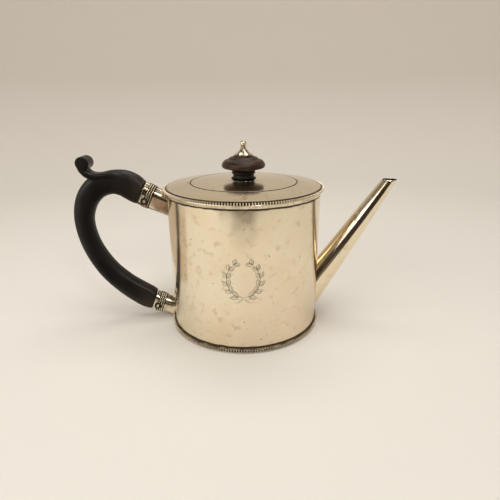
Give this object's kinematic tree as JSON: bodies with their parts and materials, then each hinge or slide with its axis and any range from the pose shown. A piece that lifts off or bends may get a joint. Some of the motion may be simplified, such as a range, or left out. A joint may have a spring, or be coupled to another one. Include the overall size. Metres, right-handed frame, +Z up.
{
  "type": "teapot",
  "caption": "Silver drum teapot with a beaded top and foot, straight tapered spout, flush hinged lid with a wooden finial, and a dark wooden scroll handle held in reeded sockets.",
  "frame": {"origin": "centre of the flat base plate's underside, on the drum's axis, where the teapot rests", "axes": "+Z up, +X from the drum's axis towards the spout with the handle at -X, +Y completes a right-handed frame"},
  "size_m": [0.2313, 0.1128, 0.1331],
  "materials": {
    "polished_silver": "polished old silver, warm, with fine wear and tarnish at the mouldings",
    "silver_fittings": "silver, less polished and darker in the recesses",
    "ebonised_wood": "black stained and waxed, satin",
    "stained_wood": "dark red-brown turned wood, satin"
  },
  "bodies": {
    "pot": {"body_wall": "polished_silver", "base_plate": "polished_silver", "base_moulding": "polished_silver", "base_bead_wire": "polished_silver", "top_plate": "polished_silver", "top_moulding": "polished_silver", "top_bead_wire": "polished_silver", "lid_seat_ring": "polished_silver", "spout": "polished_silver", "upper_socket": "polished_silver", "lower_socket": "polished_silver", "upper_pin_boss_front": "silver_fittings", "upper_pin_boss_back": "silver_fittings", "upper_socket_pin": "silver_fittings", "lower_pin_boss_front": "silver_fittings", "lower_pin_boss_back": "silver_fittings", "lower_socket_pin": "silver_fittings", "hinge_fixed_knuckles": "silver_fittings", "hinge_pin": "silver_fittings", "handle_grip": "ebonised_wood"},
    "lid": {"lid_plate": "polished_silver", "lid_bezel": "polished_silver", "lid_hinge_leaf": "silver_fittings", "finial_base_plate": "silver_fittings", "finial_neck": "ebonised_wood", "finial_knop": "stained_wood", "finial_cap": "polished_silver", "finial_stud": "silver_fittings", "finial_washer": "silver_fittings", "finial_nut": "silver_fittings"}
  },
  "joints": [
    {"name": "lid_hinge", "type": "hinge", "parent": "pot", "child": "lid", "pos_m": [-0.0386, 0, 0.1038], "axis": [0, -1, 0], "range_deg": [0, 95]}
  ]
}
